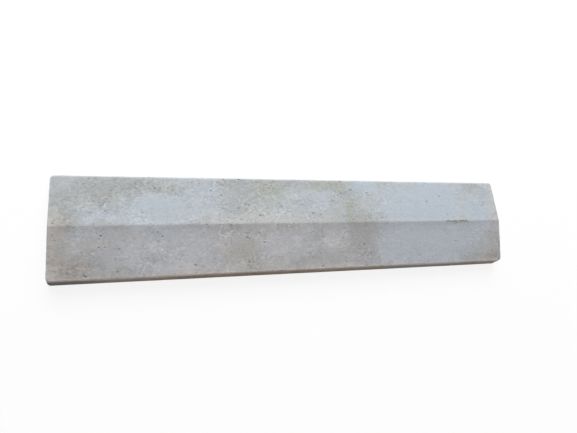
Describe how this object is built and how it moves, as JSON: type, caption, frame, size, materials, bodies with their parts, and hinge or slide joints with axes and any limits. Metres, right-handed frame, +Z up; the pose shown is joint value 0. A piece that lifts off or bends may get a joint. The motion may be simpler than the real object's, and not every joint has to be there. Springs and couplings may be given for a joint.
{
  "type": "concrete coping stone",
  "caption": "Long cast concrete wall cap with two shallow slopes falling from a central ridge, leaning sides, rounded edges and drip grooves under it; sheds rain off a wall.",
  "frame": {"origin": "centre of the flat bed that lies on the wall", "axes": "+X along the stone, +Y across it, +Z up out of the ridge"},
  "size_m": [1.2, 0.25, 0.0549],
  "materials": {
    "concrete": "matte"
  },
  "bodies": {
    "root": {"coping_stone": "concrete"}
  },
  "joints": []
}
